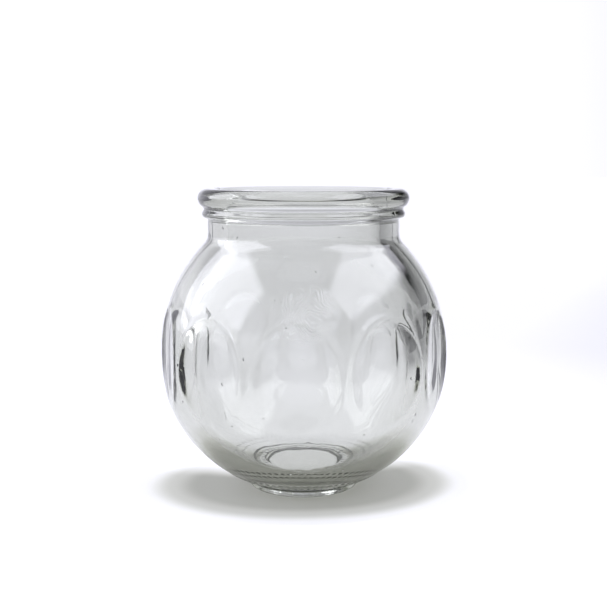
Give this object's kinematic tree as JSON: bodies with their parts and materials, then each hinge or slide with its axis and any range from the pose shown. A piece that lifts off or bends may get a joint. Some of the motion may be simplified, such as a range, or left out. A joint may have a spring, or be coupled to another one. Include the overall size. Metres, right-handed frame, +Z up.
{
  "type": "cupping glass",
  "caption": "Round clear-glass fire-cupping jar with shallow thumb ovals around the bowl, a small foot, a short neck and a heavy rounded rim that seals on the skin.",
  "frame": {"origin": "centre of the foot, on the surface that the glass stands on", "axes": "+Z up along the axis of the glass, out of its mouth; -Y to the side that the picture shows"},
  "size_m": [0.0874, 0.0874, 0.092],
  "materials": {
    "glass": "clear pressed and blown soda-lime glass, fire-polished, with a faint grey-green tint where it is thick"
  },
  "bodies": {
    "root": {"glass_cup": "glass"}
  },
  "joints": []
}
